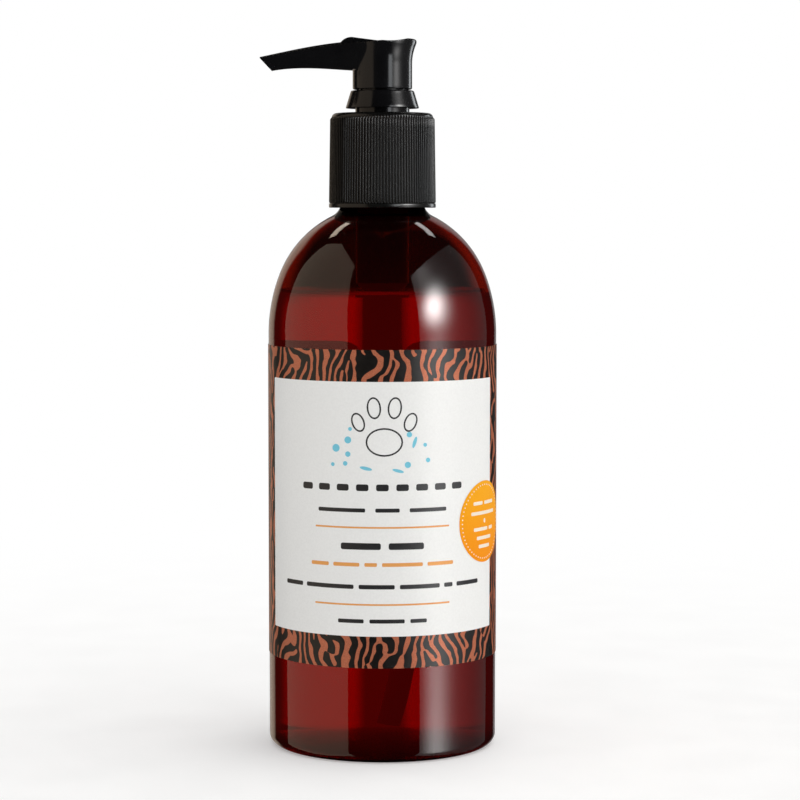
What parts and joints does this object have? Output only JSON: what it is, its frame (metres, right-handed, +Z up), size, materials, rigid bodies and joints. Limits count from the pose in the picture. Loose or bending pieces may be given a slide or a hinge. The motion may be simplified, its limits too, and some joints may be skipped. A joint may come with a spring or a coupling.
{
  "type": "shampoo bottle",
  "caption": "Amber plastic bottle of shampoo with a wraparound label and a screw-on lock-down lotion pump with a long spout.",
  "frame": {"origin": "centre of the ring that the bottle stands on", "axes": "+Z up along the bottle's axis; the label's front faces -Y; the spout points to -X"},
  "size_m": [0.0621, 0.0601, 0.1861],
  "materials": {
    "amber_pet": "gloss",
    "label_film": "satin",
    "sticker_film": "satin",
    "shampoo": "gloss",
    "black_ribbed": "satin",
    "black_gloss": "gloss",
    "foam": "matte",
    "natural_plastic": "satin",
    "tube_plastic": "satin",
    "ball_steel": "polished",
    "spring_steel": "satin"
  },
  "bodies": {
    "bottle": {"bottle": "amber_pet", "wrap_label": "label_film", "round_sticker": "sticker_film", "shampoo": "shampoo"},
    "pump_core": {"housing": "natural_plastic", "gasket": "foam", "locking_collar": "black_gloss", "dip_tube": "tube_plastic"},
    "closure": {"closure": "black_ribbed"},
    "spring_end": {"spring": "spring_steel"},
    "piston": {"piston": "natural_plastic"},
    "head": {"actuator": "black_gloss", "stem": "black_gloss", "piston_seat": "natural_plastic"},
    "valve_ball": {"valve_ball": "ball_steel"}
  },
  "joints": [
    {"name": "pump_lift", "type": "slide", "parent": "bottle", "child": "pump_core", "axis": [0, 0, 1], "range_m": [0, 0.00476]},
    {"name": "closure_turn", "type": "hinge", "parent": "pump_core", "child": "closure", "pos_m": [0, 0, 0.15], "axis": [0, 0, 1], "range_deg": [0, 540]},
    {"name": "pump_stroke", "type": "slide", "parent": "pump_core", "child": "spring_end", "axis": [0, 0, 1], "range_m": [0, 0.014], "deforming": ["spring"]},
    {"name": "head_swivel", "type": "hinge", "parent": "spring_end", "child": "head", "pos_m": [0, 0, 0.17], "axis": [0, 0, 1], "continuous": true},
    {"name": "piston_slip", "type": "slide", "parent": "spring_end", "child": "piston", "axis": [0, 0, -1], "range_m": [0, 0.001]},
    {"name": "ball_lift", "type": "slide", "parent": "pump_core", "child": "valve_ball", "axis": [0, 0, 1], "range_m": [0, 0.0012]}
  ],
  "couplings": [
    {"joint": "closure_turn", "follows": "pump_lift", "rad_per_m": 1979}
  ]
}
